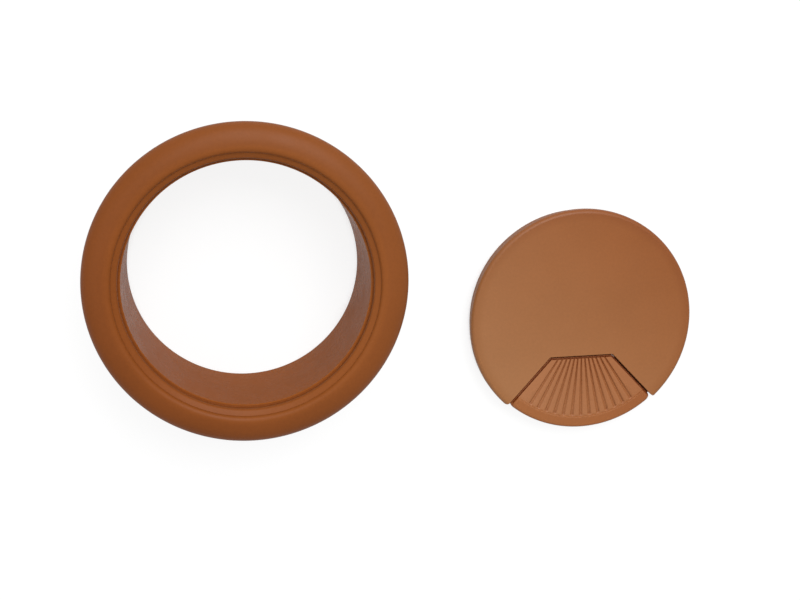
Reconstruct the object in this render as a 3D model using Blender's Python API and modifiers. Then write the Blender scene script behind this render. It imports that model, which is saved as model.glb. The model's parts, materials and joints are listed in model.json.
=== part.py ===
"""Desk cable grommet for a 60 mm hole: a flanged liner ring, and its round cover with a
sprung cable flap, lying face up beside the ring on the same table.

Metres, +Z up. The origin is on the table, in the middle of the ground that the two cover. The
ring's own heights count from the flange's underside, which lies on the desk when the ring is
fitted, and the cover's from its foot. The flap opens on the cover's -Y side.
"""

import math

import bpy
import bmesh
from mathutils import Matrix, Vector

# Liner ring: heights are above the flange's underside
FLANGE_RADIUS = 0.0360
FLANGE_EDGE = 0.0005
CREST_RADIUS = 0.0308
CREST_HEIGHT = 0.0038
ROLL_WIDTH = 0.0013
ROLL_DEPTH = 0.0010
SEAT_RADIUS = 0.02815
SEAT_TOP = 0.0020
SEAT_FLOOR = 0.0005
BORE_TOP_RADIUS = 0.02755
BORE_FOOT_RADIUS = 0.0273
SLEEVE_RADIUS = 0.0296
SLEEVE_FOOT_RADIUS = 0.0289
SLEEVE_FOOT = -0.0245
FOOT_CHAMFER = 0.0006
CRUSH_RIBS = 12
CRUSH_RIB_RADIUS = 0.0299
CRUSH_RIB_WIDTH = 0.0012
CRUSH_RIB_TOP = -0.0030
CRUSH_RIB_FOOT = -0.0190

# Cover: heights are above its foot
COVER_RADIUS = 0.0279
COVER_HEIGHT = 0.0060
COVER_ROUNDING = 0.0010
PLATE_THICKNESS = 0.0020
PLATE_UNDERSIDE = COVER_HEIGHT - PLATE_THICKNESS
RIM_UNDERSIDE = 0.0038
SKIRT_RADIUS = 0.02715
SKIRT_THICKNESS = 0.0012
SKIRT_NOTCH_START = 0.0250
SKIRT_NOTCH_WIDTH = 0.0018
SKIRT_NOTCH_TOP = 0.0035

# Flap opening: a sector of the cover, cut off by a straight chord
OPENING_HALF_ANGLE = math.radians(42.5)
CHORD_OFFSET = 0.0087
FLAP_GAP = 0.0007
CORNER_ROUNDING = 0.0006

# Flap
FLAP_RADIUS = 0.02725
FLAP_ROUNDING = 0.0008
FLAP_LIP_TOP = 0.0052
RIB_FIELD_RADIUS = 0.0244
RIB_FIELD_DEPTH = 0.0002
GROOVES = 13
GROOVE_PITCH = math.radians(5.4)
GROOVE_DEPTH = 0.0003
GROOVE_START = 0.0085

# Stop shelves along the flap's sides: places are along a side, from the cover's axis
SHELF_NEAR = 0.0140
SHELF_FAR = 0.0271
SHELF_REACH = 0.0010
SHELF_ROOT = 0.0025
SHELF_THICKNESS = 0.0010

# Hinge, along X under the chord
HINGE_OFFSET = 0.0080
HINGE_DEPTH = 0.0038
HINGE_HEIGHT = COVER_HEIGHT - HINGE_DEPTH
PIN_RADIUS = 0.00075
PIN_LENGTH = 0.0166
PIN_HOLE_RADIUS = 0.00095
LUG_RADIUS = 0.0017
LUG_WIDTH = 0.0015
LUG_PLACE = 0.00765
KNUCKLE_RADIUS = 0.0015
KNUCKLE_WIDTH = 0.0032
KNUCKLE_PLACE = 0.0049
ARM_LENGTH = 0.0034

# Torsion spring round the pin
WIRE_RADIUS = 0.00025
COIL_RADIUS = 0.00115
COIL_TURNS = 5
COIL_PITCH = 0.00075
POINTS_PER_TURN = 14
PLATE_LEG = 0.0045
FLAP_LEG = 0.0065
LEG_RISE = 0.0001

# Layout on the table: the cover's axis from the ring's, and the places that centre the pair
COVER_FROM_RING_X = 0.0821
COVER_FROM_RING_Y = -0.0174
RING_X = -(COVER_FROM_RING_X + COVER_RADIUS - FLANGE_RADIUS) / 2
RING_Y = -(COVER_FROM_RING_Y - FLAP_RADIUS + FLANGE_RADIUS) / 2

CLEARANCE = 0.0003
OVERLAP = 0.0003
ROUND_STEPS = 72
PIN_STEPS = 32
ARC_STEPS = 5
MERGE = 0.000001


def clear_scene():
    for item in list(bpy.data.objects):
        bpy.data.objects.remove(item, do_unlink=True)


def new_collection(name):
    collection = bpy.data.collections.new(name)
    bpy.context.scene.collection.children.link(collection)
    return collection


def plastic(name, colour):
    return principled(name, colour, 0.42, 0.0)


def principled(name, colour, roughness, metallic):
    material = bpy.data.materials.new(name)
    material.use_nodes = True
    shader = material.node_tree.nodes["Principled BSDF"]
    shader.inputs["Base Color"].default_value = (*colour, 1.0)
    shader.inputs["Roughness"].default_value = roughness
    shader.inputs["Metallic"].default_value = metallic
    return material


def place(name, data, collection, parent=None):
    item = bpy.data.objects.new(name, data)
    collection.objects.link(item)
    item.parent = parent
    return item


def as_cutter(item):
    item.hide_render = True
    item.display_type = "WIRE"
    return item


def shade_round(item, material):
    item.data.materials.append(material)
    item.data.shade_smooth()
    item.data.set_sharp_from_angle(angle=math.radians(35))


def boolean(item, operation, tool):
    modifier = item.modifiers.new(f"{operation.lower()}_{tool.name}", "BOOLEAN")
    modifier.operation = operation
    modifier.solver = "EXACT"
    modifier.object = tool


def arc(centre, radii, start, end):
    """Points of an elliptical arc, both ends included, from start to end in degrees."""
    points = []
    for step in range(ARC_STEPS + 1):
        angle = math.radians(start + (end - start) * step / ARC_STEPS)
        points.append((centre[0] + radii[0] * math.cos(angle), centre[1] + radii[1] * math.sin(angle)))
    return points


def turned(name, profile, closed, collection, parent=None):
    """A shape turned about its own Z axis, from (radius, height) points."""
    mesh = bpy.data.meshes.new(name)
    last = len(profile) if closed else len(profile) - 1
    edges = [(i, (i + 1) % len(profile)) for i in range(last)]
    mesh.from_pydata([(radius, 0.0, height) for radius, height in profile], edges, [])
    item = place(name, mesh, collection, parent)
    screw = item.modifiers.new("turn", "SCREW")
    screw.axis = "Z"
    screw.steps = ROUND_STEPS
    screw.render_steps = ROUND_STEPS
    screw.use_merge_vertices = True
    screw.merge_threshold = MERGE
    return item


def box(name, low, high, collection, parent=None):
    mesh = bpy.data.meshes.new(name)
    form = bmesh.new()
    bmesh.ops.create_cube(form, size=1.0)
    low, high = Vector(low), Vector(high)
    bmesh.ops.scale(form, vec=high - low, verts=form.verts)
    bmesh.ops.translate(form, vec=(low + high) / 2, verts=form.verts)
    form.to_mesh(mesh)
    form.free()
    return place(name, mesh, collection, parent)


def rod_along_x(name, radius, length, centre, steps, collection, parent=None):
    mesh = bpy.data.meshes.new(name)
    form = bmesh.new()
    bmesh.ops.create_cone(form, cap_ends=True, segments=steps, radius1=radius, radius2=radius, depth=length)
    bmesh.ops.rotate(form, matrix=Matrix.Rotation(math.pi / 2, 3, "Y"), verts=form.verts)
    bmesh.ops.translate(form, vec=centre, verts=form.verts)
    form.to_mesh(mesh)
    form.free()
    return place(name, mesh, collection, parent)


def curve_to_mesh(curve_item, collection, parent):
    """Replace a curve object by a closed mesh of the same name."""
    bpy.context.view_layer.update()
    name = curve_item.name
    evaluated = curve_item.evaluated_get(bpy.context.evaluated_depsgraph_get())
    mesh = bpy.data.meshes.new_from_object(evaluated)
    form = bmesh.new()
    form.from_mesh(mesh)
    bmesh.ops.remove_doubles(form, verts=form.verts, dist=MERGE)
    bmesh.ops.recalc_face_normals(form, faces=form.faces)
    form.to_mesh(mesh)
    form.free()
    bpy.data.objects.remove(curve_item, do_unlink=True)
    return place(name, mesh, collection, parent)


def prism(name, outline, low, high, collection, parent):
    """A flat outline in X and Y, standing from height low to height high."""
    curve = bpy.data.curves.new(name, "CURVE")
    curve.dimensions = "2D"
    curve.fill_mode = "BOTH"
    curve.extrude = (high - low) / 2
    spline = curve.splines.new("POLY")
    spline.points.add(len(outline) - 1)
    for point, (x, y) in zip(spline.points, outline):
        point.co = (x, y, 0.0, 1.0)
    spline.use_cyclic_u = True
    item = curve_to_mesh(place(name, curve, collection), collection, parent)
    item.data.transform(Matrix.Translation((0.0, 0.0, (low + high) / 2)))
    return item


def opening_outline(inset):
    """The flap opening seen from above, moved in by inset, with rounded corners at its chord."""
    side = Vector((math.sin(OPENING_HALF_ANGLE), -math.cos(OPENING_HALF_ANGLE)))
    corner_y = -CHORD_OFFSET - inset
    corner_x = -corner_y * math.tan(OPENING_HALF_ANGLE) - inset / math.cos(OPENING_HALF_ANGLE)
    corner = Vector((corner_x, corner_y))
    reach = 2 * COVER_RADIUS
    turn = math.pi / 2 + OPENING_HALF_ANGLE
    run = CORNER_ROUNDING / math.tan(turn / 2)
    centre = corner - Vector((run, CORNER_ROUNDING))
    right = [corner + side * reach]
    for step in range(ARC_STEPS + 1):
        angle = OPENING_HALF_ANGLE + (math.pi / 2 - OPENING_HALF_ANGLE) * step / ARC_STEPS
        right.append(centre + CORNER_ROUNDING * Vector((math.cos(angle), math.sin(angle))))
    left = [Vector((-point.x, point.y)) for point in reversed(right)]
    return [tuple(point) for point in right + left]


def ring_profile():
    """Closed section of the ring: over the flange, down the sleeve, up the bore and the seat."""
    slope_radii = (FLANGE_RADIUS - CREST_RADIUS, CREST_HEIGHT - FLANGE_EDGE)
    outer_slope = arc((CREST_RADIUS, FLANGE_EDGE), slope_radii, 90, 0)
    roll_centre = (CREST_RADIUS, CREST_HEIGHT - ROLL_DEPTH)
    inner_roll = arc(roll_centre, (ROLL_WIDTH, ROLL_DEPTH), 180, 90)
    return [
        *outer_slope,
        (FLANGE_RADIUS, 0.0),
        (SLEEVE_RADIUS, 0.0),
        (SLEEVE_FOOT_RADIUS, SLEEVE_FOOT + 2 * FOOT_CHAMFER),
        (SLEEVE_FOOT_RADIUS - FOOT_CHAMFER, SLEEVE_FOOT),
        (BORE_FOOT_RADIUS, SLEEVE_FOOT),
        (BORE_TOP_RADIUS, SEAT_FLOOR),
        (SEAT_RADIUS, SEAT_FLOOR),
        (SEAT_RADIUS, SEAT_TOP),
        *inner_roll[:-1],
    ]


def liner_ring(parts, cutters, ring_axis, material):
    ring = turned("liner_ring", ring_profile(), True, parts, ring_axis)
    low = (SLEEVE_FOOT_RADIUS - OVERLAP, -CRUSH_RIB_WIDTH / 2, CRUSH_RIB_FOOT)
    high = (CRUSH_RIB_RADIUS, CRUSH_RIB_WIDTH / 2, CRUSH_RIB_TOP)
    for index in range(CRUSH_RIBS):
        rib = as_cutter(box(f"crush_rib_{index}", low, high, cutters, ring_axis))
        rib.rotation_euler.z = 2 * math.pi * (index + 0.5) / CRUSH_RIBS
        boolean(ring, "UNION", rib)
    shade_round(ring, material)


def cover_plate(parts, cutters, cover_axis, material):
    rounding_centre = (COVER_RADIUS - COVER_ROUNDING, COVER_HEIGHT - COVER_ROUNDING)
    profile = [
        (0.0, COVER_HEIGHT),
        *arc(rounding_centre, (COVER_ROUNDING, COVER_ROUNDING), 90, 0),
        (COVER_RADIUS, RIM_UNDERSIDE),
        (SKIRT_RADIUS, RIM_UNDERSIDE),
        (SKIRT_RADIUS, 0.0),
        (SKIRT_RADIUS - SKIRT_THICKNESS, 0.0),
        (SKIRT_RADIUS - SKIRT_THICKNESS, PLATE_UNDERSIDE),
        (0.0, PLATE_UNDERSIDE),
    ]
    plate = turned("cover_plate", profile, False, parts, cover_axis)
    opening = prism("flap_opening", opening_outline(0.0), -OVERLAP, 2 * COVER_HEIGHT, cutters, cover_axis)
    boolean(plate, "DIFFERENCE", as_cutter(opening))
    for side, name in ((-1, "left"), (1, "right")):
        boolean(plate, "DIFFERENCE", skirt_notch(name, side, cutters, cover_axis))
        for tool in hinge_lug(name, side * LUG_PLACE, cutters, cover_axis):
            boolean(plate, "UNION", tool)
    boolean(plate, "DIFFERENCE", pin_hole("lug_pin_hole", cutters, cover_axis))
    shade_round(plate, material)


def along_side(name, side, low, high, cutters, cover_axis):
    """A box along one side of the flap opening: its X counts from the cover's axis, and its Y
    from the side into the plate."""
    near, far = sorted((side * low[1], side * high[1]))
    item = box(name, (low[0], near, low[2]), (high[0], far, high[2]), cutters, cover_axis)
    item.rotation_euler.z = side * OPENING_HALF_ANGLE - math.pi / 2
    return as_cutter(item)


def skirt_notch(name, side, cutters, cover_axis):
    """Cuts the skirt back beside the opening, so that the flap's stop shelf can pass."""
    low = (SKIRT_NOTCH_START, -OVERLAP, -OVERLAP)
    high = (COVER_RADIUS, SKIRT_NOTCH_WIDTH, SKIRT_NOTCH_TOP)
    return along_side(f"skirt_notch_{name}", side, low, high, cutters, cover_axis)


def hinge_lug(name, x, cutters, cover_axis):
    """A rounded ear round the pin, and the web that hangs it from the plate."""
    centre = (x, -HINGE_OFFSET, HINGE_HEIGHT)
    ear = rod_along_x(f"lug_ear_{name}", LUG_RADIUS, LUG_WIDTH, centre, PIN_STEPS, cutters, cover_axis)
    low = (x - LUG_WIDTH / 2, -CHORD_OFFSET, HINGE_HEIGHT)
    high = (x + LUG_WIDTH / 2, -HINGE_OFFSET + LUG_RADIUS, PLATE_UNDERSIDE + OVERLAP)
    web = box(f"lug_web_{name}", low, high, cutters, cover_axis)
    return as_cutter(ear), as_cutter(web)


def pin_hole(name, cutters, cover_axis):
    centre = (0.0, -HINGE_OFFSET, HINGE_HEIGHT)
    length = PIN_LENGTH + 4 * CLEARANCE
    return as_cutter(rod_along_x(name, PIN_HOLE_RADIUS, length, centre, PIN_STEPS, cutters, cover_axis))


def cable_flap(parts, cutters, cover_axis, hinge_axis, material):
    """The flap's own frame is the cover's; its parent stands on the hinge line."""
    field_top = COVER_HEIGHT - RIB_FIELD_DEPTH
    rounding_centre = (FLAP_RADIUS - FLAP_ROUNDING, COVER_HEIGHT - FLAP_ROUNDING)
    profile = [
        (0.0, field_top),
        (RIB_FIELD_RADIUS, field_top),
        (RIB_FIELD_RADIUS + RIB_FIELD_DEPTH, COVER_HEIGHT),
        *arc(rounding_centre, (FLAP_ROUNDING, FLAP_ROUNDING), 90, 0),
        (FLAP_RADIUS, PLATE_UNDERSIDE),
        (0.0, PLATE_UNDERSIDE),
    ]
    flap = turned("cable_flap", profile, False, parts, hinge_axis)
    flap.location = (0.0, HINGE_OFFSET, -HINGE_HEIGHT)
    outline = prism("flap_outline", opening_outline(FLAP_GAP), 0.0, 2 * COVER_HEIGHT, cutters, cover_axis)
    lip = prism("flap_lip", opening_outline(CLEARANCE), OVERLAP, FLAP_LIP_TOP, cutters, cover_axis)
    boolean(outline, "UNION", as_cutter(lip))
    boolean(flap, "INTERSECT", as_cutter(outline))
    for index in range(GROOVES):
        angle = (index - (GROOVES - 1) / 2) * GROOVE_PITCH
        boolean(flap, "DIFFERENCE", rib_groove(index, angle, field_top, cutters, cover_axis))
    for side, name in ((-1, "left"), (1, "right")):
        for tool in hinge_knuckle(name, side * KNUCKLE_PLACE, cutters, cover_axis):
            boolean(flap, "UNION", tool)
        for tool in stop_shelf(name, side, cutters, cover_axis):
            boolean(flap, "UNION", tool)
    boolean(flap, "DIFFERENCE", pin_hole("knuckle_pin_hole", cutters, cover_axis))
    shade_round(flap, material)


def rib_groove(index, angle, field_top, cutters, cover_axis):
    """A V groove: a square bar on its edge, lying along a radius of the cover."""
    half_diagonal = 3 * GROOVE_DEPTH
    length = RIB_FIELD_RADIUS - GROOVE_START
    centre = ((GROOVE_START + RIB_FIELD_RADIUS) / 2, 0.0, field_top + half_diagonal - GROOVE_DEPTH)
    groove = rod_along_x(f"rib_groove_{index}", half_diagonal, length, centre, 4, cutters, cover_axis)
    groove.rotation_euler.z = angle - math.pi / 2
    return as_cutter(groove)


def hinge_knuckle(name, x, cutters, cover_axis):
    """A round knuckle on the pin, its arm under the flap, and the block that joins the two."""
    centre = (x, -HINGE_OFFSET, HINGE_HEIGHT)
    size = (KNUCKLE_RADIUS, KNUCKLE_WIDTH)
    round_end = rod_along_x(f"knuckle_{name}", *size, centre, PIN_STEPS, cutters, cover_axis)
    left, right = x - KNUCKLE_WIDTH / 2, x + KNUCKLE_WIDTH / 2
    heel, toe = -HINGE_OFFSET, -HINGE_OFFSET - ARM_LENGTH
    arm_low = (left, toe, HINGE_HEIGHT - KNUCKLE_RADIUS)
    arm_high = (right, heel, HINGE_HEIGHT + KNUCKLE_RADIUS)
    arm = box(f"knuckle_arm_{name}", arm_low, arm_high, cutters, cover_axis)
    block_low = (left, toe + OVERLAP, HINGE_HEIGHT)
    block_high = (right, -CHORD_OFFSET - FLAP_GAP - OVERLAP, PLATE_UNDERSIDE + OVERLAP)
    block = box(f"knuckle_block_{name}", block_low, block_high, cutters, cover_axis)
    return as_cutter(round_end), as_cutter(arm), as_cutter(block)


def stop_shelf(name, side, cutters, cover_axis):
    """A shelf along the flap's side that reaches under the plate, and its root in the flap."""
    top = SKIRT_NOTCH_TOP - CLEARANCE
    bottom = top - SHELF_THICKNESS
    low = (SHELF_NEAR, -SHELF_ROOT, bottom)
    high = (SHELF_FAR, SHELF_REACH, top)
    shelf = along_side(f"stop_shelf_{name}", side, low, high, cutters, cover_axis)
    low = (SHELF_NEAR + OVERLAP, OVERLAP - SHELF_ROOT, bottom + OVERLAP)
    high = (SHELF_FAR - OVERLAP, -FLAP_GAP - OVERLAP, PLATE_UNDERSIDE + OVERLAP)
    root = along_side(f"stop_root_{name}", side, low, high, cutters, cover_axis)
    return shelf, root


def flap_hinge_pin(parts, cover_axis, material):
    centre = (0.0, -HINGE_OFFSET, HINGE_HEIGHT)
    pin = rod_along_x("flap_hinge_pin", PIN_RADIUS, PIN_LENGTH, centre, PIN_STEPS, parts, cover_axis)
    shade_round(pin, material)


def spring_path():
    """Wire centre line in the hinge's frame: a leg under the plate, the coil, a leg under the flap."""
    half_width = COIL_TURNS * COIL_PITCH / 2
    points = [(-half_width, PLATE_LEG, COIL_RADIUS + LEG_RISE)]
    for step in range(COIL_TURNS * POINTS_PER_TURN + 1):
        turns = step / POINTS_PER_TURN
        angle = 2 * math.pi * turns
        x = turns * COIL_PITCH - half_width
        points.append((x, -COIL_RADIUS * math.sin(angle), COIL_RADIUS * math.cos(angle)))
    points.append((half_width, -FLAP_LEG, COIL_RADIUS + LEG_RISE))
    return points


def flap_spring(parts, hinge_axis, material):
    curve = bpy.data.curves.new("flap_spring", "CURVE")
    curve.dimensions = "3D"
    curve.bevel_depth = WIRE_RADIUS
    curve.bevel_resolution = 2
    curve.use_fill_caps = True
    path = spring_path()
    spline = curve.splines.new("POLY")
    spline.points.add(len(path) - 1)
    for point, place_on_path in zip(spline.points, path):
        point.co = (*place_on_path, 1.0)
    spring = curve_to_mesh(place("flap_spring", curve, parts), parts, hinge_axis)
    shade_round(spring, material)


def main():
    clear_scene()
    parts = new_collection("desk_grommet")
    cutters = new_collection("cutters")

    ring_axis = place("ring_axis", None, parts)
    ring_axis.location = (RING_X, RING_Y, -SLEEVE_FOOT)
    cover_axis = place("cover_axis", None, parts)
    cover_axis.location = (RING_X + COVER_FROM_RING_X, RING_Y + COVER_FROM_RING_Y, 0.0)
    hinge_axis = place("hinge_axis", None, parts, cover_axis)
    hinge_axis.location = (0.0, -HINGE_OFFSET, HINGE_HEIGHT)

    steel = (0.55, 0.55, 0.56)
    liner_ring(parts, cutters, ring_axis, plastic("ring_plastic", (0.270, 0.103, 0.040)))
    cover_plate(parts, cutters, cover_axis, plastic("cover_plastic", (0.352, 0.138, 0.057)))
    cable_flap(parts, cutters, cover_axis, hinge_axis, plastic("flap_plastic", (0.365, 0.146, 0.066)))
    flap_hinge_pin(parts, cover_axis, principled("pin_steel", steel, 0.30, 1.0))
    flap_spring(parts, hinge_axis, principled("spring_steel", steel, 0.35, 1.0))


main()
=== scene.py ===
"""Looks of the desk grommet: fine meshes, moulded plastic and steel, light, floor and camera.

Metres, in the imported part's frame. The ring stands on its sleeve at the left, flange up, and the
cover lies face up at the right, with its ribbed cable flap shut.
"""

import json
import math

import bmesh
import bpy
import numpy as np
from mathutils import Matrix, Vector


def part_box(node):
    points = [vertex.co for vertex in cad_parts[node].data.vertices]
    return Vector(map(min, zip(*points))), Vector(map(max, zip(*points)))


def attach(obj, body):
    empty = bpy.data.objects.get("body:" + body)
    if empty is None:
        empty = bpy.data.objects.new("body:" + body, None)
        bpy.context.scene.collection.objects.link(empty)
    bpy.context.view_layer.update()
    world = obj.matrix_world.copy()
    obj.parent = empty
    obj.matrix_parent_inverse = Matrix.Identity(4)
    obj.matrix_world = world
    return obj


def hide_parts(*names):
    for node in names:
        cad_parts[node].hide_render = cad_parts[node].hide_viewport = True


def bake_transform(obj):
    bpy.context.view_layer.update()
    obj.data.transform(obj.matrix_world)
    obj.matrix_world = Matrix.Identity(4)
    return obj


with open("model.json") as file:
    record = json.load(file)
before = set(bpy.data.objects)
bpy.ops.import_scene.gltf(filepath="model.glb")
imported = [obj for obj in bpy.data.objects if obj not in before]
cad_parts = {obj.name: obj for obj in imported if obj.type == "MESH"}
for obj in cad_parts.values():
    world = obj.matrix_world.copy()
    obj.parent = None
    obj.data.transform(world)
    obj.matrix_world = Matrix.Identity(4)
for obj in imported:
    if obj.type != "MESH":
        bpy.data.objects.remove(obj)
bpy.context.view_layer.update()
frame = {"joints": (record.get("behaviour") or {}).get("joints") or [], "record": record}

# Places and sizes that the frame gives
JOINTS = {joint["name"]: joint for joint in frame["joints"]}
MOUNTS = {mount["name"]: mount for mount in frame["record"]["mounts"]}
RING_LOW, RING_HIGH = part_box("liner_ring")
COVER_LOW, COVER_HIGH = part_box("cover_plate")
PIN_LOW, PIN_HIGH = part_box("flap_hinge_pin")
DESK_PLANE = MOUNTS["desk_face"]["pos_m"][2]
RING_AXIS = Vector(((RING_LOW.x + RING_HIGH.x) / 2, (RING_LOW.y + RING_HIGH.y) / 2, DESK_PLANE))
COVER_AXIS = Vector(JOINTS["cover_turn"]["pos_m"])
HINGE = Vector(JOINTS["flap_hinge"]["pos_m"])
FLANGE_RADIUS = (RING_HIGH.x - RING_LOW.x) / 2
CREST_HEIGHT = RING_HIGH.z - DESK_PLANE
SLEEVE_FOOT = RING_LOW.z - DESK_PLANE
COVER_RADIUS = (COVER_HIGH.x - COVER_LOW.x) / 2
COVER_HEIGHT = COVER_HIGH.z - COVER_LOW.z
HINGE_OFFSET = COVER_AXIS.y - HINGE.y
HINGE_HEIGHT = HINGE.z
PIN_RADIUS = (PIN_HIGH.z - PIN_LOW.z) / 2
PIN_LENGTH = PIN_HIGH.x - PIN_LOW.x

# Ring: heights are above the flange's underside
FLANGE_EDGE = 0.0005
CREST_RADIUS = 0.0308
ROLL_WIDTH = 0.0013
ROLL_DEPTH = 0.0010
SEAT_RADIUS = 0.02815
SEAT_TOP = 0.0020
SEAT_ROUNDING = 0.0008
SEAT_FLOOR = 0.0005
BORE_TOP_RADIUS = 0.02755
BORE_FOOT_RADIUS = 0.0273
SLEEVE_RADIUS = 0.0296
SLEEVE_FOOT_RADIUS = 0.0289
FOOT_CHAMFER = 0.0006
EDGE_ROUNDING = 0.00015
CRUSH_RIBS = 12
CRUSH_RIB_RADIUS = 0.0299
CRUSH_RIB_WIDTH = 0.0012
CRUSH_RIB_TOP = -0.0030
CRUSH_RIB_FOOT = -0.0190

# Cover: heights are above its foot
COVER_ROUNDING = 0.0010
PLATE_UNDERSIDE = 0.0040
RIM_UNDERSIDE = 0.0038
SKIRT_RADIUS = 0.02715
SKIRT_THICKNESS = 0.0012
SKIRT_NOTCH_START = 0.0250
SKIRT_NOTCH_WIDTH = 0.0018
SKIRT_NOTCH_TOP = 0.0035
OPENING_HALF_ANGLE = math.radians(42.5)
CHORD_OFFSET = 0.0087
FLAP_GAP = 0.0007
CORNER_ROUNDING = 0.0006
RIM_CORNER_ROUNDING = 0.0010
OPENING_EDGE_ROUNDING = 0.0002

# Flap
FLAP_RADIUS = 0.02725
FLAP_LIP_TOP = 0.0052
FLAP_RIM_ROUNDING = 0.0008
FLAP_EDGE_ROUNDING = 0.0004
FLAP_CORNER_ROUNDING = 0.0010
FLAP_CHORD_ROUNDING = 0.0003
RIM_STEPS = 60
RIB_FIELD_RADIUS = 0.0244
RIB_FIELD_DEPTH = 0.00028
RIB_FIELD_EDGE = 0.00018
GROOVES = 13
GROOVE_PITCH = math.radians(5.4)
GROOVE_DEPTH = 0.00040
GROOVE_SHARE = 0.48
GROOVE_STEPS = 12
RIB_STEPS = 8
RIB_DOME = 0.00006
PLAIN_COLUMNS = 8
FACE_HALF_ANGLE = math.radians(50.0)
FACE_INNER_RADIUS = 0.0080
FACE_OUTER_RADIUS = 0.0284

# Hinge parts
PIN_HOLE_RADIUS = 0.00095
LUG_RADIUS = 0.0017
LUG_WIDTH = 0.0015
LUG_PLACE = 0.00765
KNUCKLE_RADIUS = 0.0015
KNUCKLE_WIDTH = 0.0032
KNUCKLE_PLACE = 0.0049
ARM_LENGTH = 0.0034
SHELF_NEAR = 0.0140
SHELF_FAR = 0.0271
SHELF_REACH = 0.0010
SHELF_ROOT = 0.0025
SHELF_THICKNESS = 0.0010
CLEARANCE = 0.0003
OVERLAP = 0.0003
WIRE_RADIUS = 0.00025
COIL_RADIUS = 0.00115
COIL_TURNS = 5
COIL_PITCH = 0.00075
PLATE_LEG = 0.0045
FLAP_LEG = 0.0065
LEG_RISE = 0.0002
COIL_POINTS = 32

# Finish, table, light and camera. The camera's place is from the ring's axis at the desk plane.
RING_COLOUR = (0.159, 0.0438, 0.0088)
# Painted highlight for the ring's inner roll, seat wall and ledge, paler than the ring's colour
SEAT_HIGHLIGHT_COLOUR = (0.180, 0.0500, 0.0092)
BORE_COLOUR = (0.228, 0.063, 0.0090)
COVER_COLOUR = (0.214, 0.070, 0.0135)
COVER_RIM_COLOUR = (0.196, 0.060, 0.0098)
RIB_COLOUR = (0.228, 0.070, 0.0142)
FLAP_RIM_COLOUR = (0.197, 0.0505, 0.0066)
# Tone of the painted shade in crevices, gaps and corners, as a share of each colour
PAINTED_SHADE_TONE = (0.50, 0.18, 0.04)
# Painted light: the ring pales towards its lit upper right, the cover towards a painted sheen at its lower left
RING_PAINTED_LIGHT = ((0.94, 0.90, 0.82), (1.06, 1.12, 1.22))
COVER_PAINTED_SHEEN = ((0.83, 0.63, 0.15), (1.27, 1.68, 3.20))
# Width of the painted edge highlight; four times it is the reach of the painted crevice shade
EDGE_HIGHLIGHT_WIDTH = 0.00025
PIN_END_ROUNDING = 0.0003
TABLE_HALF_SIZE = 3.0
TABLE_GLOW = 0.85
TABLE_CLEARNESS = 0.6
TABLE_SHADE_REACH = 0.008
ROOM_LIGHT = 0.75
KEY_POWER = 5.9
FILL_POWER = 0.45
LENS = 59.22
CAMERA_FROM_RING = Vector((-0.00816, 0.06129, 0.28634))
CAMERA_TURN = (-12.803, -8.607, -0.974)

ROUND_STEPS = 288
ARC_STEPS = 8
MERGE = 0.000001


# Geometry helpers ---------------------------------------------------------------------------


def new_object(name, mesh, place=(0.0, 0.0, 0.0)):
    item = bpy.data.objects.new(name, mesh)
    item.location = place
    bpy.context.scene.collection.objects.link(item)
    return item


def finished_mesh(name, form):
    mesh = bpy.data.meshes.new(name)
    form.to_mesh(mesh)
    form.free()
    return mesh


def arc(centre, radii, start, end, steps=ARC_STEPS):
    """Points of an elliptical arc, both ends included, from start to end in degrees."""
    angles = np.radians(np.linspace(start, end, steps + 1))
    return [(centre[0] + radii[0] * math.cos(a), centre[1] + radii[1] * math.sin(a)) for a in angles]


def fillet(before, corner, after, radius, steps=5):
    """Points of a round that replaces a corner of a section."""
    corner = Vector(corner)
    to_before = (Vector(before) - corner).normalized()
    to_after = (Vector(after) - corner).normalized()
    half = to_before.angle(to_after) / 2
    run = radius / math.tan(half)
    centre = corner + (to_before + to_after).normalized() * (radius / math.sin(half))
    first = corner + to_before * run - centre
    last = corner + to_after * run - centre
    sweep = first.angle(last)
    points = []
    for step in range(steps + 1):
        angle = sweep * step / steps
        spoke = (first * math.sin(sweep - angle) + last * math.sin(angle)) / math.sin(sweep)
        points.append(tuple(centre + spoke))
    return points


def softened(corners):
    """A closed section from (point, rounding) pairs."""
    points = []
    for index, (point, radius) in enumerate(corners):
        if radius:
            before = corners[index - 1][0]
            after = corners[(index + 1) % len(corners)][0]
            points.extend(fillet(before, point, after, radius))
        else:
            points.append(point)
    return points


def plain(points):
    return [(point, 0.0) for point in points]


def spun(name, profile, place, closed=True):
    """A section of (radius, height) points turned about a vertical axis. A section that isn't
    closed runs from the top face's edge to the underside's, and each gets one flat face."""
    form = bmesh.new()
    angles = [2 * math.pi * step / ROUND_STEPS for step in range(ROUND_STEPS)]
    rings = []
    for radius, height in profile:
        rings.append([form.verts.new((radius * math.cos(a), radius * math.sin(a), height)) for a in angles])
    pairs = list(zip(rings, rings[1:]))
    if closed:
        pairs.append((rings[-1], rings[0]))
    for upper, lower in pairs:
        for step in range(ROUND_STEPS):
            after = (step + 1) % ROUND_STEPS
            form.faces.new((upper[step], lower[step], lower[after], upper[after]))
    if not closed:
        form.faces.new(rings[0])
        form.faces.new(list(reversed(rings[-1])))
    return new_object(name, finished_mesh(name, form), place)


def lofted(name, loops, place):
    """A closed solid through loops of equal count, lowest first, with flat end faces."""
    form = bmesh.new()
    rings = [[form.verts.new(point) for point in loop] for loop in loops]
    count = len(rings[0])
    for lower, upper in zip(rings, rings[1:]):
        for step in range(count):
            after = (step + 1) % count
            form.faces.new((lower[step], lower[after], upper[after], upper[step]))
    form.faces.new(list(reversed(rings[0])))
    form.faces.new(rings[-1])
    return new_object(name, finished_mesh(name, form), place)


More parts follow.
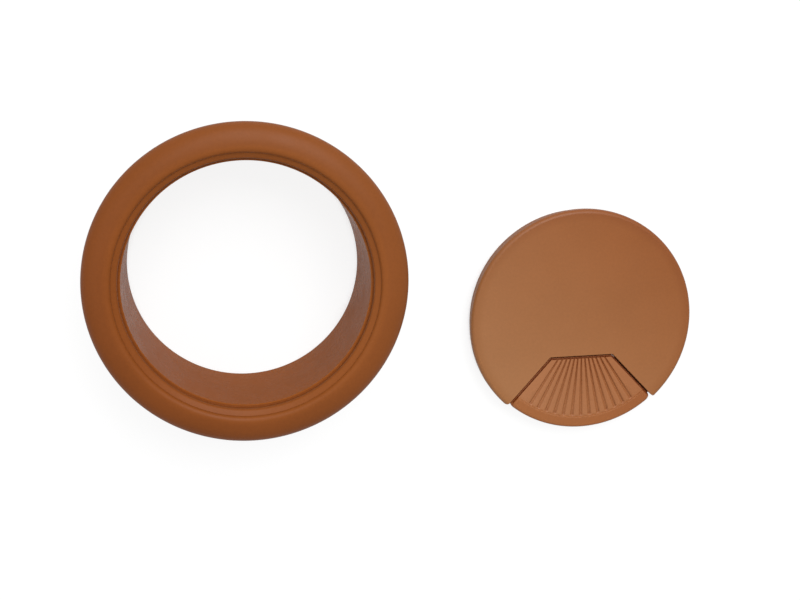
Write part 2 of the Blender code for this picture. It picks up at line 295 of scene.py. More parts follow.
def soft_box(name, low, high, place, rounding=EDGE_ROUNDING):
    low, high = Vector(low), Vector(high)
    form = bmesh.new()
    bmesh.ops.create_cube(form, size=1.0)
    bmesh.ops.scale(form, vec=high - low, verts=form.verts)
    bmesh.ops.translate(form, vec=(low + high) / 2, verts=form.verts)
    bmesh.ops.bevel(form, geom=form.edges[:], offset=rounding, segments=3, profile=0.5, affect="EDGES")
    return new_object(name, finished_mesh(name, form), place)


def rod_along_x(name, radius, length, centre, place, rounding=EDGE_ROUNDING, steps=64):
    form = bmesh.new()
    bmesh.ops.create_cone(form, cap_ends=True, segments=steps, radius1=radius, radius2=radius, depth=length)
    rims = [edge for edge in form.edges if abs(edge.verts[0].co.z - edge.verts[1].co.z) < MERGE]
    bmesh.ops.bevel(form, geom=rims, offset=rounding, segments=4, profile=0.5, affect="EDGES")
    bmesh.ops.rotate(form, matrix=Matrix.Rotation(math.pi / 2, 3, "Y"), verts=form.verts)
    bmesh.ops.translate(form, vec=centre, verts=form.verts)
    return new_object(name, finished_mesh(name, form), place)


def combine(item, tool, operation):
    """Apply one exact Boolean and remove its tool."""
    modifier = item.modifiers.new(operation, "BOOLEAN")
    modifier.operation = operation
    modifier.solver = "EXACT"
    modifier.object = tool
    bpy.context.view_layer.update()
    evaluated = item.evaluated_get(bpy.context.evaluated_depsgraph_get())
    mesh = bpy.data.meshes.new_from_object(evaluated)
    item.modifiers.clear()
    item.data = mesh
    bpy.data.objects.remove(tool, do_unlink=True)


def united(items):
    """One object from overlapping solids."""
    for tool in items[1:]:
        combine(items[0], tool, "UNION")
    return items[0]


def finish_piece(item, node, body, material, angle=32.0):
    """Smooth a piece, give it its material and let it stand for its CAD node."""
    item.name = node + "_looks"
    item.data.materials.clear()
    item.data.materials.append(material)
    item.data.shade_smooth()
    item.data.set_sharp_from_angle(angle=math.radians(angle))
    normals = item.modifiers.new("flat_faces", "WEIGHTED_NORMAL")
    normals.keep_sharp = True
    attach(item, body)
    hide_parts(node)


# Outlines of the flap and of its opening, seen from above ---------------------------------------


def side_direction():
    """Along the opening's right-hand side, away from the cover's axis."""
    return Vector((math.sin(OPENING_HALF_ANGLE), -math.cos(OPENING_HALF_ANGLE)))


def side_outward():
    """Across the opening's right-hand side, into the plate."""
    return Vector((math.cos(OPENING_HALF_ANGLE), math.sin(OPENING_HALF_ANGLE)))


def chord_corner(inset):
    """Right-hand corner at the chord, moved in by inset from the chord and the side."""
    y = -CHORD_OFFSET - inset
    x = -y * math.tan(OPENING_HALF_ANGLE) - inset / math.cos(OPENING_HALF_ANGLE)
    return Vector((x, y))


def chord_round(inset, radius):
    """Round at the chord's right-hand corner, from the side to the chord."""
    run = radius / math.tan((math.pi / 2 + OPENING_HALF_ANGLE) / 2)
    centre = chord_corner(inset) - Vector((run, radius))
    angles = np.linspace(OPENING_HALF_ANGLE, math.pi / 2, ARC_STEPS + 1)
    return [centre + radius * Vector((math.cos(a), math.sin(a))) for a in angles]


def side_at_radius(inset, radius):
    """Point of the right-hand side, moved in by inset, at a radius from the cover's axis."""
    corner, side = chord_corner(inset), side_direction()
    along = corner.dot(side)
    return corner + side * (math.sqrt(along * along - corner.length_squared + radius * radius) - along)


def mirrored(points, height):
    """The right-hand points, then their mirror images in reverse, all at one height."""
    both = list(points) + [Vector((-point.x, point.y)) for point in reversed(points)]
    return [(point.x, point.y, height) for point in both]


def opening_loop(outset, height):
    """The opening's outline, widened by outset. It flares out to round the plate's rim corners."""
    flare = RIM_CORNER_ROUNDING - outset
    side, outward = side_direction(), side_outward()
    centre = side_at_radius(-outset, COVER_RADIUS - RIM_CORNER_ROUNDING) + outward * flare
    beside = centre + side * (flare + COVER_RADIUS / 8) + outward * COVER_RADIUS / 4
    right = [Vector((beside.x, -2 * COVER_RADIUS)), beside]
    for angle in np.linspace(math.pi / 2, 0.0, ARC_STEPS + 1):
        right.append(centre + flare * (side * math.sin(angle) - outward * math.cos(angle)))
    right.extend(chord_round(-outset, CORNER_ROUNDING + outset))
    return mirrored(right, height)


def flap_loop(side_inset, rim_inset, height):
    """The flap's outline, moved in from its sides and chord and from its rim."""
    inset = FLAP_GAP + side_inset
    rim_radius = FLAP_RADIUS - rim_inset
    centre = side_at_radius(inset + FLAP_CORNER_ROUNDING, rim_radius - FLAP_CORNER_ROUNDING)
    corner_angle = math.atan2(centre.y, centre.x)
    right = []
    for step in range(RIM_STEPS):
        angle = -math.pi / 2 + (corner_angle + math.pi / 2) * (step + 0.5) / RIM_STEPS
        right.append(rim_radius * Vector((math.cos(angle), math.sin(angle))))
    for angle in np.linspace(corner_angle, OPENING_HALF_ANGLE, ARC_STEPS + 1):
        right.append(centre + FLAP_CORNER_ROUNDING * Vector((math.cos(angle), math.sin(angle))))
    right.extend(chord_round(inset, FLAP_CHORD_ROUNDING))
    return mirrored(right, height)


def rounding_inset(height, top, radius):
    """How far a rounded top edge has drawn in at a height."""
    rise = min(max(height - (top - radius), 0.0), radius)
    return radius - math.sqrt(radius * radius - rise * rise)


# Ring -------------------------------------------------------------------------------------------


def ring_section():
    slope_centre = (CREST_RADIUS, FLANGE_EDGE)
    slope_radii = (FLANGE_RADIUS - CREST_RADIUS, CREST_HEIGHT - FLANGE_EDGE)
    roll_centre = (CREST_RADIUS, CREST_HEIGHT - ROLL_DEPTH)
    outer_slope = arc(slope_centre, slope_radii, 90, 0, 40)
    inner_roll = arc(roll_centre, (ROLL_WIDTH, ROLL_DEPTH), 180, 90, 14)
    foot_outside = (SLEEVE_FOOT_RADIUS, SLEEVE_FOOT + 2 * FOOT_CHAMFER)
    return softened([
        *plain(outer_slope),
        ((FLANGE_RADIUS, 0.0), EDGE_ROUNDING),
        ((SLEEVE_RADIUS, 0.0), EDGE_ROUNDING),
        (foot_outside, 2 * EDGE_ROUNDING),
        ((SLEEVE_FOOT_RADIUS - FOOT_CHAMFER, SLEEVE_FOOT), EDGE_ROUNDING),
        ((BORE_FOOT_RADIUS, SLEEVE_FOOT), EDGE_ROUNDING),
        ((BORE_TOP_RADIUS, SEAT_FLOOR), EDGE_ROUNDING),
        ((SEAT_RADIUS, SEAT_FLOOR), EDGE_ROUNDING),
        ((SEAT_RADIUS, SEAT_TOP), SEAT_ROUNDING),
        *plain(inner_roll[:-1]),
    ])


def liner_ring():
    ring = spun("ring", ring_section(), RING_AXIS)
    low = (SLEEVE_FOOT_RADIUS - OVERLAP, -CRUSH_RIB_WIDTH / 2, CRUSH_RIB_FOOT)
    high = (CRUSH_RIB_RADIUS, CRUSH_RIB_WIDTH / 2, CRUSH_RIB_TOP)
    form = bmesh.new()
    for index in range(CRUSH_RIBS):
        rib = soft_box("crush_rib", low, high, RING_AXIS, 2 * EDGE_ROUNDING)
        rib.data.transform(Matrix.Rotation(2 * math.pi * (index + 0.5) / CRUSH_RIBS, 4, "Z"))
        form.from_mesh(rib.data)
        bpy.data.objects.remove(rib, do_unlink=True)
    combine(ring, new_object("crush_ribs", finished_mesh("crush_ribs", form), RING_AXIS), "UNION")
    return ring


# Cover plate ------------------------------------------------------------------------------------


def opening_cutter():
    """The opening as a solid, flaring at the plate's face to round the opening's edge."""
    edge = OPENING_EDGE_ROUNDING
    loops = [opening_loop(0.0, -OVERLAP)]
    for angle in np.radians((0, 18, 36, 54, 72)):
        loops.append(opening_loop(edge * (1 - math.cos(angle)), COVER_HEIGHT - edge * (1 - math.sin(angle))))
    loops.append(opening_loop(edge, COVER_HEIGHT + 0.05 * edge))
    loops.append(opening_loop(edge, 2 * COVER_HEIGHT))
    return lofted("opening", loops, COVER_AXIS)


def pin_hole():
    centre = (0.0, -HINGE_OFFSET, HINGE_HEIGHT)
    return rod_along_x("pin_hole", PIN_HOLE_RADIUS, PIN_LENGTH + 4 * CLEARANCE, centre, COVER_AXIS)


def along_side(name, side, low, high, rounding=EDGE_ROUNDING):
    """A box along one side of the flap opening: its X counts from the cover's axis, and its Y
    from the side into the plate."""
    near, far = sorted((side * low[1], side * high[1]))
    item = soft_box(name, (low[0], near, low[2]), (high[0], far, high[2]), COVER_AXIS, rounding)
    item.data.transform(Matrix.Rotation(side * OPENING_HALF_ANGLE - math.pi / 2, 4, "Z"))
    return item


def skirt_notch(side):
    """Cuts the skirt back beside the opening, so that the flap's stop shelf can pass."""
    low = (SKIRT_NOTCH_START, -OVERLAP, -OVERLAP)
    high = (COVER_RADIUS, SKIRT_NOTCH_WIDTH, SKIRT_NOTCH_TOP)
    return along_side("skirt_notch", side, low, high)


def hinge_lug(x):
    """A rounded ear round the pin, and the web that hangs it from the plate."""
    centre = (x, -HINGE_OFFSET, HINGE_HEIGHT)
    low = (x - LUG_WIDTH / 2, -CHORD_OFFSET, HINGE_HEIGHT)
    high = (x + LUG_WIDTH / 2, -HINGE_OFFSET + LUG_RADIUS, PLATE_UNDERSIDE + OVERLAP)
    ear = rod_along_x("ear", LUG_RADIUS, LUG_WIDTH, centre, COVER_AXIS)
    return united([ear, soft_box("web", low, high, COVER_AXIS, EDGE_ROUNDING / 2)])


def cover_plate():
    inside = SKIRT_RADIUS - SKIRT_THICKNESS
    rounding_centre = (COVER_RADIUS - COVER_ROUNDING, COVER_HEIGHT - COVER_ROUNDING)
    section = softened([
        *plain(arc(rounding_centre, (COVER_ROUNDING, COVER_ROUNDING), 90, 0, 14)),
        ((COVER_RADIUS, RIM_UNDERSIDE), EDGE_ROUNDING),
        ((SKIRT_RADIUS, RIM_UNDERSIDE), EDGE_ROUNDING),
        ((SKIRT_RADIUS, 0.0), EDGE_ROUNDING),
        ((inside, 0.0), EDGE_ROUNDING),
        ((inside, PLATE_UNDERSIDE), EDGE_ROUNDING),
        ((0.9 * inside, PLATE_UNDERSIDE), 0.0),
    ])
    plate = spun("plate", section, COVER_AXIS, closed=False)
    combine(plate, opening_cutter(), "DIFFERENCE")
    for side in (-1, 1):
        combine(plate, skirt_notch(side), "DIFFERENCE")
        combine(plate, hinge_lug(side * LUG_PLACE), "UNION")
    combine(plate, pin_hole(), "DIFFERENCE")
    return plate


# Flap -------------------------------------------------------------------------------------------


def smoothstep(low, high, value):
    t = min(max((value - low) / (high - low), 0.0), 1.0)
    return t * t * (3 - 2 * t)


def rib_columns():
    """Lines of the flap's face from the cover's axis outwards, as (angle, drop) pairs: a soft
    valley at each groove, and a gently domed rib between two grooves."""
    first = -(GROOVES - 1) / 2 * GROOVE_PITCH
    half_groove = GROOVE_SHARE * GROOVE_PITCH / 2
    columns = []
    for index in range(GROOVES):
        centre = first + index * GROOVE_PITCH
        for part in np.linspace(-1.0, 1.0, GROOVE_STEPS + 1):
            columns.append((centre + half_groove * part, math.cos(math.pi * part / 2) ** 1.5))
        if index < GROOVES - 1:
            for part in np.linspace(0.0, 1.0, RIB_STEPS + 1)[1:-1]:
                angle = centre + half_groove + (GROOVE_PITCH - 2 * half_groove) * part
                columns.append((angle, -math.sin(math.pi * part) * RIB_DOME / GROOVE_DEPTH))
    edge = columns[-1][0]
    for part in np.linspace(0.0, 1.0, PLAIN_COLUMNS + 1)[1:]:
        angle = edge + (FACE_HALF_ANGLE - edge) * part
        columns.append((angle, 0.0))
        columns.insert(0, (-angle, 0.0))
    return columns


def ribbed_face():
    """A thick sector, larger than the flap, whose top carries the ribs and the plain rim band."""
    radii = [*np.linspace(FACE_INNER_RADIUS, RIB_FIELD_RADIUS - 0.0010, 30)]
    radii += [*np.linspace(RIB_FIELD_RADIUS - 0.0007, RIB_FIELD_RADIUS + 2 * RIB_FIELD_EDGE, 16)]
    radii += [*np.linspace(RIB_FIELD_RADIUS + 0.0009, FACE_OUTER_RADIUS, 6)]
    columns = rib_columns()
    form = bmesh.new()
    top, bottom = [], []
    for radius in radii:
        raised = smoothstep(RIB_FIELD_RADIUS, RIB_FIELD_RADIUS + RIB_FIELD_EDGE, radius)
        grooved = 1 - smoothstep(RIB_FIELD_RADIUS - 0.0005, RIB_FIELD_RADIUS + RIB_FIELD_EDGE / 2, radius)
        depth = GROOVE_DEPTH * grooved * (0.55 + 0.45 * radius / RIB_FIELD_RADIUS)
        top_row, bottom_row = [], []
        for angle, drop in columns:
            x, y = radius * math.sin(angle), -radius * math.cos(angle)
            z = COVER_HEIGHT - RIB_FIELD_DEPTH * (1 - raised) - depth * drop
            top_row.append(form.verts.new((x, y, z)))
            bottom_row.append(form.verts.new((x, y, PLATE_UNDERSIDE - CLEARANCE)))
        top.append(top_row)
        bottom.append(bottom_row)
    rows, count = len(radii), len(columns)
    for row in range(rows - 1):
        for column in range(count - 1):
            for grid, turned_over in ((top, False), (bottom, True)):
                corners = [grid[row][column], grid[row + 1][column]]
                corners += [grid[row + 1][column + 1], grid[row][column + 1]]
                form.faces.new(corners[::-1] if turned_over else corners)
    rim = [(0, column) for column in range(count)]
    rim += [(row, count - 1) for row in range(1, rows)]
    rim += [(rows - 1, column) for column in range(count - 2, -1, -1)]
    rim += [(row, 0) for row in range(rows - 2, 0, -1)]
    for here, there in zip(rim, rim[1:] + rim[:1]):
        a, b = top[here[0]][here[1]], top[there[0]][there[1]]
        c, d = bottom[there[0]][there[1]], bottom[here[0]][here[1]]
        form.faces.new((a, b, c, d))
    bmesh.ops.recalc_face_normals(form, faces=form.faces)
    return new_object("ribbed_face", finished_mesh("ribbed_face", form), COVER_AXIS)


def flap_envelope():
    """The flap's outline with rounded edges, a larger round at its rim than at its sides, and a
    lip low on its sides that closes most of the gap."""
    lip_inset = CLEARANCE - FLAP_GAP
    loops = []
    for angle in np.radians((0, 30, 60, 90)):
        foot = EDGE_ROUNDING * (1 - math.sin(angle))
        loops.append(flap_loop(foot + lip_inset, foot, PLATE_UNDERSIDE + EDGE_ROUNDING * (1 - math.cos(angle))))
    for angle in np.radians((0, 30, 60, 90)):
        side = lip_inset + EDGE_ROUNDING * (1 - math.cos(angle))
        loops.append(flap_loop(side, 0.0, FLAP_LIP_TOP - EDGE_ROUNDING * (1 - math.sin(angle))))
    for angle in np.radians(np.linspace(0, 90, 13)):
        height = COVER_HEIGHT - FLAP_RIM_ROUNDING * (1 - math.sin(angle))
        side = rounding_inset(height, COVER_HEIGHT, FLAP_EDGE_ROUNDING)
        rim = rounding_inset(height, COVER_HEIGHT, FLAP_RIM_ROUNDING)
        loops.append(flap_loop(side, rim, height))
    return lofted("flap_envelope", loops, COVER_AXIS)


def hinge_knuckle(x):
    """A round knuckle on the pin, its arm under the flap, and the block that joins the two."""
    left, right = x - KNUCKLE_WIDTH / 2, x + KNUCKLE_WIDTH / 2
    heel, toe = -HINGE_OFFSET, -HINGE_OFFSET - ARM_LENGTH
    centre = (x, -HINGE_OFFSET, HINGE_HEIGHT)
    arm_low = (left, toe, HINGE_HEIGHT - KNUCKLE_RADIUS)
    arm_high = (right, heel, HINGE_HEIGHT + KNUCKLE_RADIUS)
    block_low = (left, toe + OVERLAP, HINGE_HEIGHT)
    block_high = (right, -CHORD_OFFSET - FLAP_GAP - OVERLAP, PLATE_UNDERSIDE + OVERLAP)
    return united([
        rod_along_x("knuckle", KNUCKLE_RADIUS, KNUCKLE_WIDTH, centre, COVER_AXIS),
        soft_box("arm", arm_low, arm_high, COVER_AXIS, EDGE_ROUNDING / 2),
        soft_box("block", block_low, block_high, COVER_AXIS, EDGE_ROUNDING / 2),
    ])


def stop_shelf(side):
    """A shelf along the flap's side that reaches under the plate, and its root in the flap."""
    top = SKIRT_NOTCH_TOP - CLEARANCE
    bottom = top - SHELF_THICKNESS
    low = (SHELF_NEAR, -SHELF_ROOT, bottom)
    shelf = along_side("shelf", side, low, (SHELF_FAR, SHELF_REACH, top))
    low = (SHELF_NEAR + OVERLAP, OVERLAP - SHELF_ROOT, bottom + OVERLAP)
    high = (SHELF_FAR - OVERLAP, -FLAP_GAP - OVERLAP, PLATE_UNDERSIDE + OVERLAP)
    return united([shelf, along_side("root", side, low, high, EDGE_ROUNDING / 2)])


def cable_flap():
    flap = flap_envelope()
    combine(flap, ribbed_face(), "INTERSECT")
    for side in (-1, 1):
        combine(flap, hinge_knuckle(side * KNUCKLE_PLACE), "UNION")
        combine(flap, stop_shelf(side), "UNION")
    combine(flap, pin_hole(), "DIFFERENCE")
    return flap


# Pin and spring ---------------------------------------------------------------------------------


def spring_path():
    """Wire centre line about the hinge: a leg under the plate, the coil, a leg under the flap."""
    half_width = COIL_TURNS * COIL_PITCH / 2
    points = [(-half_width, y, COIL_RADIUS + LEG_RISE * y / PLATE_LEG) for y in np.linspace(PLATE_LEG, 0.0003, 12)]
    for turn in np.linspace(0.0, COIL_TURNS, COIL_TURNS * COIL_POINTS + 1):
        angle = 2 * math.pi * turn
        x = turn * COIL_PITCH - half_width
        points.append((x, -COIL_RADIUS * math.sin(angle), COIL_RADIUS * math.cos(angle)))
    points += [(half_width, -y, COIL_RADIUS + LEG_RISE * y / FLAP_LEG) for y in np.linspace(0.0003, FLAP_LEG, 16)]
    return points


def flap_spring():
    curve = bpy.data.curves.new("spring", "CURVE")
    curve.dimensions = "3D"
    curve.bevel_depth = WIRE_RADIUS
    curve.bevel_resolution = 6
    curve.use_fill_caps = True
    spline = curve.splines.new("POLY")
    path = spring_path()
    spline.points.add(len(path) - 1)
    for point, spot in zip(spline.points, path):
        point.co = (*(HINGE + Vector(spot)), 1.0)
    wire = new_object("wire", curve)
    bpy.context.view_layer.update()
    mesh = bpy.data.meshes.new_from_object(wire.evaluated_get(bpy.context.evaluated_depsgraph_get()))
    bpy.data.objects.remove(wire, do_unlink=True)
    return new_object("spring", mesh)


# Materials --------------------------------------------------------------------------------------


def node_of(tree, kind, values=None, **settings):
    """A shader node with its settings and the values of its unlinked inputs."""
    node = tree.nodes.new(kind)
    for name, value in settings.items():
        setattr(node, name, value)
    for name, value in (values or {}).items():
        node.inputs[name].default_value = value
    return node


def new_material(name):
    material = bpy.data.materials.new(name)
    material.use_nodes = True
    tree = material.node_tree
    tree.nodes.clear()
    surface = node_of(tree, "ShaderNodeBsdfPrincipled")
    output = node_of(tree, "ShaderNodeOutputMaterial")
    tree.links.new(surface.outputs["BSDF"], output.inputs["Surface"])
    return material, tree, surface


def noise(tree, place, scale, detail=2.0):
    texture = node_of(tree, "ShaderNodeTexNoise", {"Scale": scale, "Detail": detail, "Roughness": 0.55})
    tree.links.new(place, texture.inputs["Vector"])
    return texture.outputs["Fac"]


def mapped(tree, value, low, high, new_low, new_high):
    spread = node_of(tree, "ShaderNodeMapRange")
    tree.links.new(value, spread.inputs["Value"])
    for socket, number in zip(("From Min", "From Max", "To Min", "To Max"), (low, high, new_low, new_high)):
        spread.inputs[socket].default_value = number
    return spread.outputs["Result"]


def arithmetic(tree, operation, first, second):
    node = node_of(tree, "ShaderNodeMath", operation=operation)
    for socket, value in zip(node.inputs, (first, second)):
        if isinstance(value, float):
            socket.default_value = value
        else:
            tree.links.new(value, socket)
    return node.outputs["Value"]


def blended(tree, factor, first, second, blend_type="MIX"):
    node = node_of(tree, "ShaderNodeMix", data_type="RGBA", blend_type=blend_type)
    for socket, value in zip((node.inputs[0], node.inputs[6], node.inputs[7]), (factor, first, second)):
        if isinstance(value, (float, tuple)):
            socket.default_value = value
        else:
            tree.links.new(value, socket)
    return node.outputs[2]


def edge_mask(tree, radius):
    """1 on outside edges, which get a painted highlight, 0 on flat faces and in corners."""
    bevel = node_of(tree, "ShaderNodeBevel", {"Radius": radius}, samples=4)
    shape = node_of(tree, "ShaderNodeNewGeometry")
    turned = node_of(tree, "ShaderNodeVectorMath", operation="DOT_PRODUCT")
    tree.links.new(bevel.outputs["Normal"], turned.inputs[0])
    tree.links.new(shape.outputs["True Normal"], turned.inputs[1])
    openness = node_of(tree, "ShaderNodeAmbientOcclusion", {"Distance": 4 * radius}, samples=4)
    rounded = mapped(tree, turned.outputs["Value"], 0.995, 0.85, 0.0, 1.0)
    outside = mapped(tree, openness.outputs["AO"], 0.75, 0.98, 0.0, 1.0)
    return arithmetic(tree, "MULTIPLY", rounded, outside), openness.outputs["AO"]


def within_radius(tree, place, radius, softness):
    """1 nearer to a piece's own upright axis than a radius, 0 farther away."""
    level = node_of(tree, "ShaderNodeVectorMath", operation="MULTIPLY")
    level.inputs[1].default_value = (1.0, 1.0, 0.0)
    tree.links.new(place, level.inputs[0])
    length = node_of(tree, "ShaderNodeVectorMath", operation="LENGTH")
    tree.links.new(level.outputs["Vector"], length.inputs[0])
    return mapped(tree, length.outputs["Value"], radius - softness, radius + softness, 1.0, 0.0)


def between(tree, factor, first, second):
    """The first value where the factor is 0, the second where it is 1."""
    node = node_of(tree, "ShaderNodeMix", data_type="FLOAT")
    for socket, value in zip(node.inputs[0:1] + node.inputs[2:4], (factor, first, second)):
        if isinstance(value, float):
            socket.default_value = value
        else:
            tree.links.new(value, socket)
    return node.outputs[0]


def painted_light_gradient(tree, colour, light_gradient, pale):
    """Painted light: a colour times the gradient's first tone where pale is 0, and its second where it is 1."""
    ends = [(*[tone * part for tone, part in zip(tones, colour)], 1.0) for tones in light_gradient]
    return blended(tree, pale, *ends)


def moulded_plastic(name, colour, roughness, sheen, light_gradient, lit_towards, zones):
    """Satin moulded plastic: soft mottling, fine grain, painted highlights on outside edges and
    painted shade in crevices. A painted light gradient makes it paler towards one side. Round
    zones inside it, outermost first, are given as (radius, softness, colour, roughness, sheen) and
    have the finish of the mould's part that shaped them, or, for the ring's seat, a painted highlight."""
    material, tree, surface = new_material(name)
    place = node_of(tree, "ShaderNodeTexCoord").outputs["Object"]
    along = node_of(tree, "ShaderNodeVectorMath", operation="DOT_PRODUCT")
    along.inputs[1].default_value = lit_towards
    tree.links.new(place, along.inputs[0])
    # Painted light gradient: the colour grows paler towards one side, as if lit from there
    pale = mapped(tree, along.outputs["Value"], -FLANGE_RADIUS, FLANGE_RADIUS, 0.0, 1.0)
    tint = painted_light_gradient(tree, colour, light_gradient, pale)
    for radius, softness, zone_colour, zone_roughness, zone_sheen in zones:
        inside = within_radius(tree, place, radius, softness)
        tint = blended(tree, inside, tint, painted_light_gradient(tree, zone_colour, light_gradient, pale))
        roughness = between(tree, inside, roughness, zone_roughness)
        sheen = between(tree, inside, sheen, zone_sheen)
    mottle = noise(tree, place, 55.0, 3.0)
    speckle = noise(tree, place, 1500.0)
    grain = noise(tree, place, 5200.0)
    scuff = noise(tree, place, 260.0, 5.0)
    shade = arithmetic(
        tree, "ADD", mapped(tree, mottle, 0.3, 0.7, 0.95, 1.02), mapped(tree, speckle, 0.3, 0.7, -0.03, 0.03)
    )
    base = blended(tree, 1.0, tint, shade, "MULTIPLY")
    edges, openness = edge_mask(tree, EDGE_HIGHLIGHT_WIDTH)
    # Painted highlight: outside edges lighten towards a paler, warmer tone, its strength varied by scuff noise
    painted_highlight = arithmetic(tree, "MULTIPLY", edges, mapped(tree, scuff, 0.35, 0.65, 0.05, 0.28))
    edge_lit = blended(tree, painted_highlight, base, (*[1.15 * part + 0.006 for part in colour], 1.0))
    # Painted shade: where the AO finds a crevice, gap or corner, the colour darkens towards a dark red-brown
    painted_shade = mapped(tree, openness, 0.40, 0.72, 0.94, 0.0)
    shade_colour = tuple(tone * part for tone, part in zip(PAINTED_SHADE_TONE, colour))
    shaded = blended(tree, painted_shade, edge_lit, (*shade_colour, 1.0))
    tree.links.new(shaded, surface.inputs["Base Color"])
    gloss = arithmetic(
        tree, "ADD", mapped(tree, scuff, 0.3, 0.7, -0.04, 0.05), mapped(tree, mottle, 0.3, 0.7, -0.02, 0.02)
    )
    tree.links.new(arithmetic(tree, "ADD", gloss, roughness), surface.inputs["Roughness"])
    lit = mapped(tree, openness, 0.3, 0.9, 0.0, 1.0)
    tree.links.new(arithmetic(tree, "MULTIPLY", lit, sheen), surface.inputs["Specular IOR Level"])
    relief = node_of(tree, "ShaderNodeBump", {"Strength": 0.16, "Distance": 0.00004})
    tree.links.new(grain, relief.inputs["Height"])
    tree.links.new(relief.outputs["Normal"], surface.inputs["Normal"])
    return material


def drawn_steel(name, stretch):
    """Steel wire with drawing marks along it. The marks are stretched along X by stretch."""
    material, tree, surface = new_material(name)
    place = node_of(tree, "ShaderNodeTexCoord").outputs["Object"]
    along = node_of(tree, "ShaderNodeMapping", {"Scale": (1 / stretch, 1.0, 1.0)})
    tree.links.new(place, along.inputs["Vector"])
    marks = noise(tree, along.outputs["Vector"], 9000.0, 3.0)
    bloom = noise(tree, place, 420.0, 3.0)
    tone = blended(tree, mapped(tree, bloom, 0.35, 0.7, 0.0, 1.0), (0.60, 0.60, 0.61, 1.0), (0.42, 0.42, 0.44, 1.0))
    tree.links.new(tone, surface.inputs["Base Color"])
    gloss = arithmetic(
        tree, "ADD", mapped(tree, marks, 0.3, 0.7, 0.20, 0.38), mapped(tree, bloom, 0.3, 0.7, -0.03, 0.06)
    )
    tree.links.new(gloss, surface.inputs["Roughness"])
    surface.inputs["Metallic"].default_value = 1.0
    relief = node_of(tree, "ShaderNodeBump", {"Strength": 0.25, "Distance": 0.00001})
    tree.links.new(marks, relief.inputs["Height"])
    tree.links.new(relief.outputs["Normal"], surface.inputs["Normal"])
    return material


def pale_table(name):
    """A pale matt table top that glows to the camera where it is open, so that shadows on it stay
    faint. From beneath it is clear, and light from beneath passes through it in part, so the
    pieces' undersides can be seen."""
    material, tree, surface = new_material(name)
    place = node_of(tree, "ShaderNodeTexCoord").outputs["Object"]
    mottle = noise(tree, place, 9.0, 3.0)
    tone = blended(tree, mapped(tree, mottle, 0.3, 0.7, 0.0, 1.0), (0.93, 0.93, 0.925, 1.0), (0.95, 0.95, 0.95, 1.0))
    tree.links.new(tone, surface.inputs["Base Color"])
    surface.inputs["Roughness"].default_value = 0.9
    surface.inputs["Specular IOR Level"].default_value = 0.1
    glow = node_of(tree, "ShaderNodeEmission", {"Color": (1.0, 1.0, 1.0, 1.0), "Strength": 1.0})
    ray = node_of(tree, "ShaderNodeLightPath")
    lit = node_of(tree, "ShaderNodeMixShader")
    openness = node_of(tree, "ShaderNodeAmbientOcclusion", {"Distance": TABLE_SHADE_REACH}, samples=8)
    open_glow = mapped(tree, openness.outputs["AO"], 0.32, 0.48, 0.0, TABLE_GLOW)
    tree.links.new(arithmetic(tree, "MULTIPLY", ray.outputs["Is Camera Ray"], open_glow), lit.inputs["Fac"])
    tree.links.new(surface.outputs["BSDF"], lit.inputs[1])
    tree.links.new(glow.outputs["Emission"], lit.inputs[2])
    shape = node_of(tree, "ShaderNodeNewGeometry")
    clear = node_of(tree, "ShaderNodeBsdfTransparent")
    choice = node_of(tree, "ShaderNodeMixShader")
    output = tree.nodes["Material Output"]
    indirect = arithmetic(tree, "SUBTRACT", 1.0, ray.outputs["Is Camera Ray"])
    passed = arithmetic(tree, "MULTIPLY", indirect, TABLE_CLEARNESS)
    clearness = arithmetic(tree, "MAXIMUM", passed, shape.outputs["Backfacing"])
    tree.links.new(clearness, choice.inputs["Fac"])
    tree.links.new(lit.outputs["Shader"], choice.inputs[1])
    tree.links.new(clear.outputs["BSDF"], choice.inputs[2])
    tree.links.new(choice.outputs["Shader"], output.inputs["Surface"])
    return material


# Table, light and camera ------------------------------------------------------------------------


def table_top():
    """The table. It sinks with the flap's tip when the open flap reaches below the pieces' feet."""
    form = bmesh.new()
    bmesh.ops.create_grid(form, x_segments=1, y_segments=1, size=TABLE_HALF_SIZE)
    table = new_object("table", finished_mesh("table", form))
    table.data.materials.append(pale_table("pale_table"))
    tip = bpy.data.objects.new("flap_tip", None)
    tip.location = COVER_AXIS + Vector((0.0, -FLAP_RADIUS, PLATE_UNDERSIDE))
    bpy.context.scene.collection.objects.link(tip)
    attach(tip, "flap")
    follow = table.constraints.new("COPY_LOCATION")
    follow.target = tip
    follow.use_x = False
    follow.use_y = False
    limit = table.constraints.new("LIMIT_LOCATION")
    limit.use_max_z = True
    limit.max_z = 0.0


def softbox(name, place, aim, size, power):
    lamp = bpy.data.lights.new(name, "AREA")
    lamp.shape = "RECTANGLE"
    lamp.size, lamp.size_y = size
    lamp.energy = power
    box = bpy.data.objects.new(name, lamp)
    box.location = place
    box.rotation_mode = "QUATERNION"
    box.rotation_quaternion = (Vector(aim) - Vector(place)).to_track_quat("-Z", "Y")
    bpy.context.scene.collection.objects.link(box)


def surroundings():
    """An even bright room, seen as white."""
    world = bpy.data.worlds.new("studio")
    world.use_nodes = True
    tree = world.node_tree
    tree.nodes.clear()
    room = node_of(tree, "ShaderNodeBackground", {"Color": (0.98, 0.99, 1.0, 1.0), "Strength": ROOM_LIGHT})
    seen = node_of(tree, "ShaderNodeBackground", {"Color": (1.0, 1.0, 1.0, 1.0), "Strength": 1.0})
    ray = node_of(tree, "ShaderNodeLightPath")
    choice = node_of(tree, "ShaderNodeMixShader")
    output = node_of(tree, "ShaderNodeOutputWorld")
    tree.links.new(ray.outputs["Is Camera Ray"], choice.inputs["Fac"])
    tree.links.new(room.outputs["Background"], choice.inputs[1])
    tree.links.new(seen.outputs["Background"], choice.inputs[2])
    tree.links.new(choice.outputs["Shader"], output.inputs["Surface"])
    bpy.context.scene.world = world


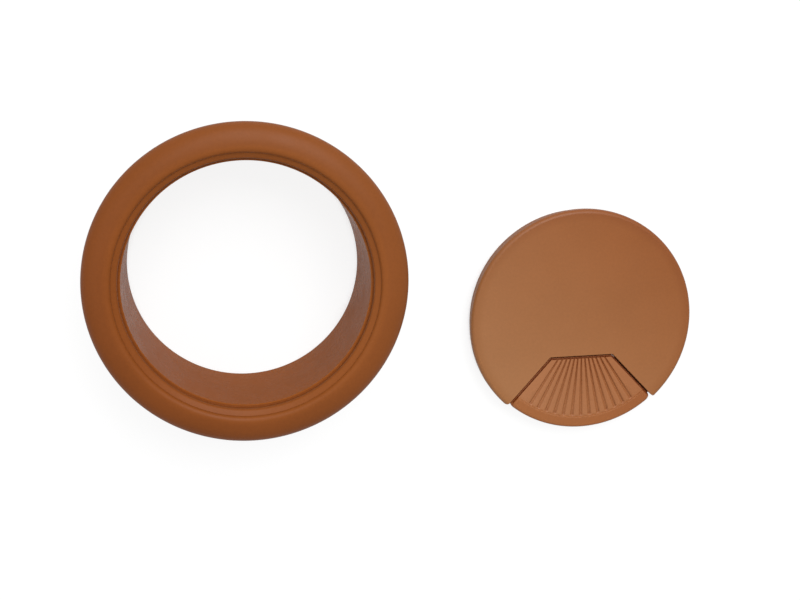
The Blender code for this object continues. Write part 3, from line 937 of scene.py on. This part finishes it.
def camera():
    lens = bpy.data.cameras.new("camera")
    lens.lens = LENS
    lens.clip_start = 0.01
    viewer = bpy.data.objects.new("camera", lens)
    viewer.location = RING_AXIS + CAMERA_FROM_RING
    viewer.rotation_euler = [math.radians(angle) for angle in CAMERA_TURN]
    bpy.context.scene.collection.objects.link(viewer)
    bpy.context.scene.camera = viewer


# Painted highlight: the ring is paler inside its crest, on the inner roll, seat wall and ledge, as if lit
SEAT_HIGHLIGHT_ZONE = (CREST_RADIUS, 0.0008, SEAT_HIGHLIGHT_COLOUR, 0.42, 0.09)
BORE_ZONE = (BORE_TOP_RADIUS + EDGE_ROUNDING, EDGE_ROUNDING, BORE_COLOUR, 0.28, 0.012)
FACE_ZONE = (COVER_RADIUS - 2 * COVER_ROUNDING, COVER_ROUNDING, COVER_COLOUR, 0.48, 0.30)
RIB_ZONE = (RIB_FIELD_RADIUS + RIB_FIELD_EDGE, 2 * RIB_FIELD_EDGE, RIB_COLOUR, 0.48, 0.30)
RING_LIGHT_GRADIENT = (RING_PAINTED_LIGHT, (0.8, 0.6, 0.0))
COVER_LIGHT_GRADIENT = (COVER_PAINTED_SHEEN, (-0.6, -0.8, 0.0))
ring_plastic = moulded_plastic("ring_plastic", RING_COLOUR, 0.42, 0.09, *RING_LIGHT_GRADIENT, [SEAT_HIGHLIGHT_ZONE, BORE_ZONE])
cover_plastic = moulded_plastic("cover_plastic", COVER_RIM_COLOUR, 0.48, 0.30, *COVER_LIGHT_GRADIENT, [FACE_ZONE])
flap_plastic = moulded_plastic("flap_plastic", FLAP_RIM_COLOUR, 0.48, 0.30, *COVER_LIGHT_GRADIENT, [RIB_ZONE])

finish_piece(liner_ring(), "liner_ring", "ring", ring_plastic)
finish_piece(cover_plate(), "cover_plate", "cover", cover_plastic)
finish_piece(cable_flap(), "cable_flap", "flap", flap_plastic)

pin_centre = (0.0, -HINGE_OFFSET, HINGE_HEIGHT)
pin = rod_along_x("pin", PIN_RADIUS, PIN_LENGTH, pin_centre, COVER_AXIS, PIN_END_ROUNDING)
finish_piece(pin, "flap_hinge_pin", "cover", drawn_steel("pin_steel", 30.0))

spring = flap_spring()
spring.data.materials.append(drawn_steel("spring_steel", 4.0))
spring.data.shade_smooth()
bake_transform(spring)
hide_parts("flap_spring")

table_top()
surroundings()
softbox("key", (0.10, 0.41, 0.60), (0.0, 0.0, 0.02), (0.55, 0.50), KEY_POWER)
softbox("fill", (-0.40, 0.05, 0.50), (0.0, 0.0, 0.02), (0.40, 0.40), FILL_POWER)
camera()
bpy.context.scene.view_settings.view_transform = "Standard"
